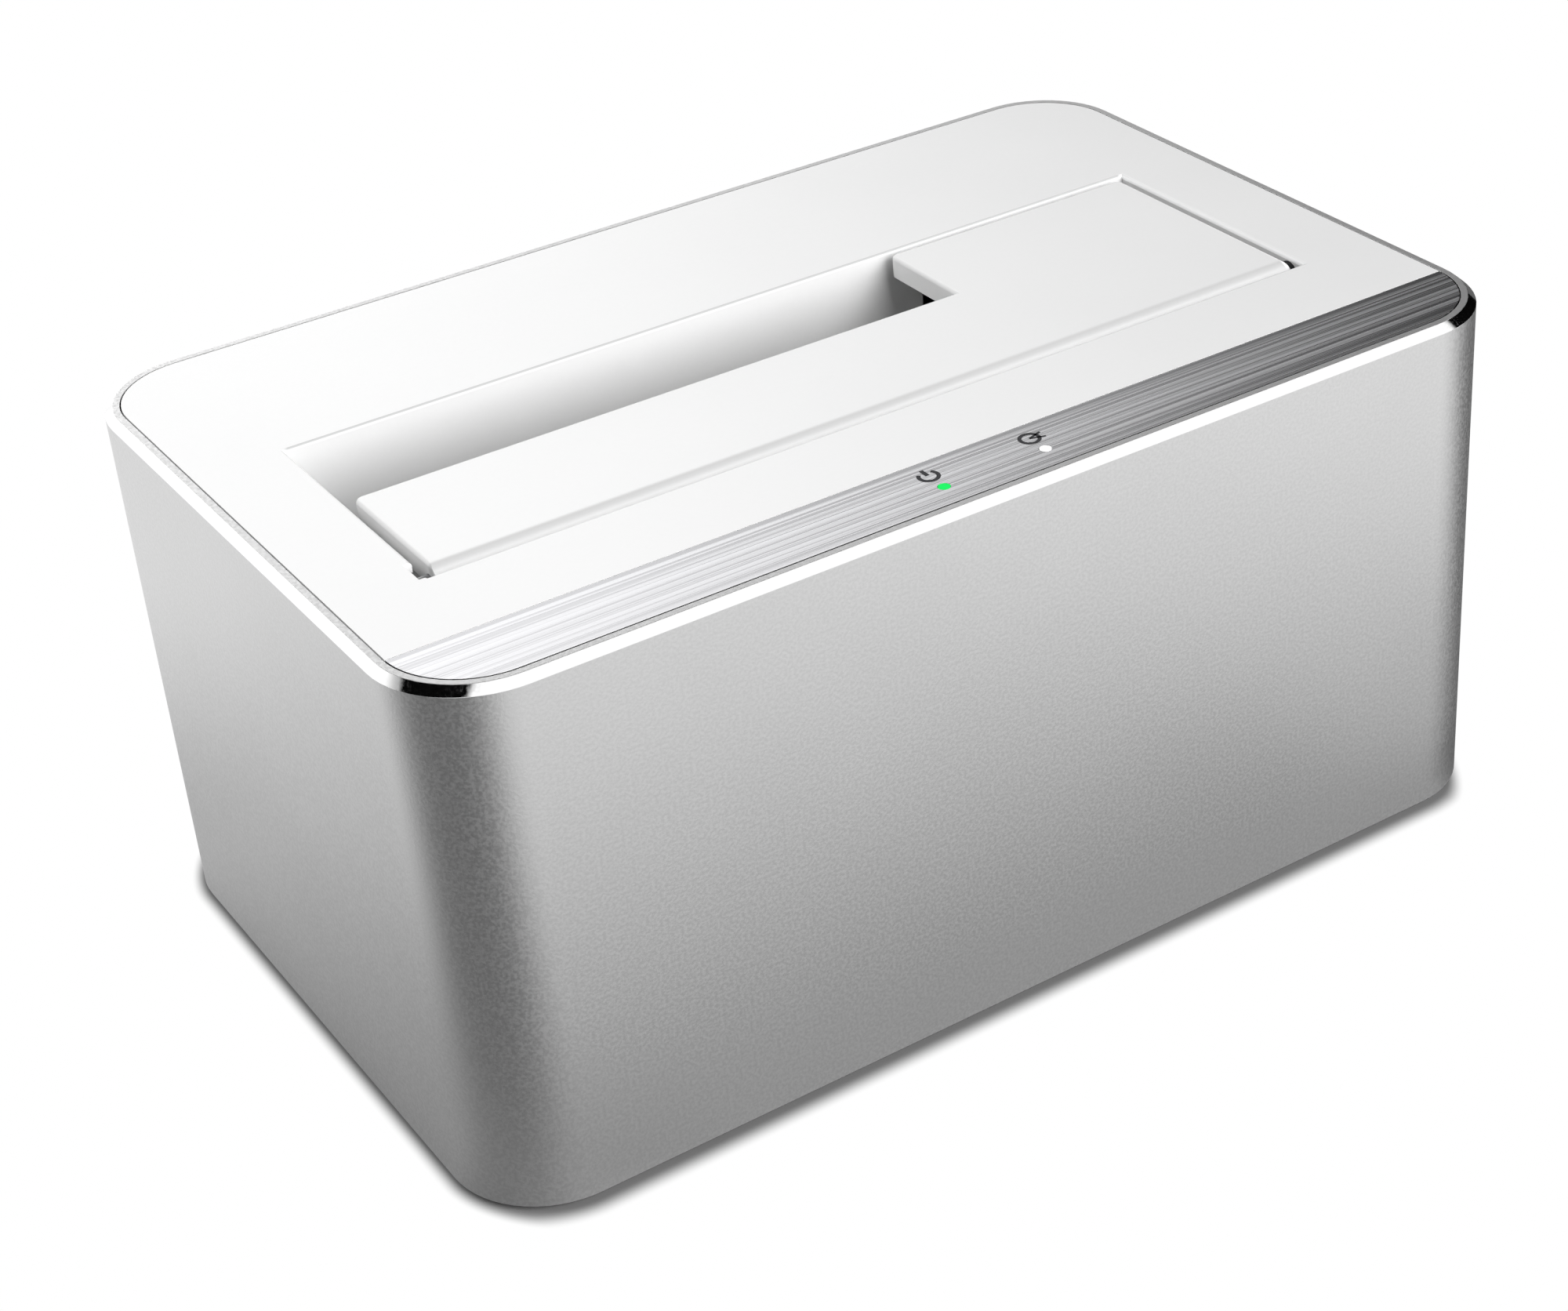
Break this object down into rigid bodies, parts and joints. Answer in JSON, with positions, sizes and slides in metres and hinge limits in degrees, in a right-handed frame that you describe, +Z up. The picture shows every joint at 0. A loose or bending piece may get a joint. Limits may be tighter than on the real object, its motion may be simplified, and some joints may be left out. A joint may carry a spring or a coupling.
{
  "type": "hard drive docking station",
  "caption": "Desktop dock: a rounded aluminium sleeve with a white top, where a sprung flap closes the slot for full-size drives and leaves a mouth for small ones.",
  "frame": {"origin": "on the table, under the middle of the body", "axes": "+X along the long side to the right, +Y to the back with the sockets, +Z up"},
  "size_m": [0.126, 0.08, 0.059],
  "materials": {
    "anodised_aluminium": "bead-blasted and clear anodised, with a bright cut bevel",
    "brushed_trim": "brushed along its length",
    "white_plastic": "satin moulded white",
    "clear_plastic": "clear moulded acrylic",
    "bright_steel": "drawn and plated",
    "dark_steel": "blackened",
    "black_plastic": "fine moulded texture",
    "grey_plastic": "fine moulded texture",
    "blue_plastic": "satin moulded",
    "gilt_contact": "gold flash",
    "board_green": "solder mask over copper",
    "chip_black": "moulded compound",
    "can_aluminium": "drawn can",
    "lamp_white": "lamp housing",
    "foot_rubber": "matt"
  },
  "bodies": {
    "dock": {"sleeve": "anodised_aluminium", "top_panel": "white_plastic", "trim_strip": "brushed_trim", "power_light_pipe": "clear_plastic", "activity_light_pipe": "clear_plastic", "hinge_bushes": "black_plastic", "flap_spring": "bright_steel", "drive_well": "white_plastic", "well_screws": "dark_steel", "sata_socket": "black_plastic", "sata_contacts": "gilt_contact", "main_board": "board_green", "bridge_chip": "chip_black", "memory_chip": "chip_black", "regulator_chip": "chip_black", "power_coil": "chip_black", "capacitors": "can_aluminium", "crystal": "can_aluminium", "power_led": "lamp_white", "activity_led": "lamp_white", "usb_shell": "bright_steel", "usb_tongue": "blue_plastic", "usb_contacts": "gilt_contact", "jack_body": "black_plastic", "jack_pin": "bright_steel", "jack_spring": "bright_steel", "switch_body": "black_plastic", "base_plate": "grey_plastic", "rubber_feet": "foot_rubber", "base_screws": "dark_steel", "board_screws": "bright_steel"},
    "flap": {"drive_flap": "white_plastic", "hinge_rod": "bright_steel"},
    "button": {"power_button": "grey_plastic", "switch_plunger": "white_plastic"}
  },
  "joints": [
    {"name": "flap_hinge", "type": "hinge", "parent": "dock", "child": "flap", "pos_m": [0, -0.0167, 0.057], "axis": [-1, 0, 0], "range_deg": [0, 90], "stiffness_Nm_per_rad": 0.004, "springref_deg": -28.65, "deforming": ["flap_spring"]},
    {"name": "button_press", "type": "slide", "parent": "dock", "child": "button", "axis": [0, -1, 0], "range_m": [0, 0.0012], "stiffness_N_per_m": 400, "springref_m": -0.002}
  ]
}
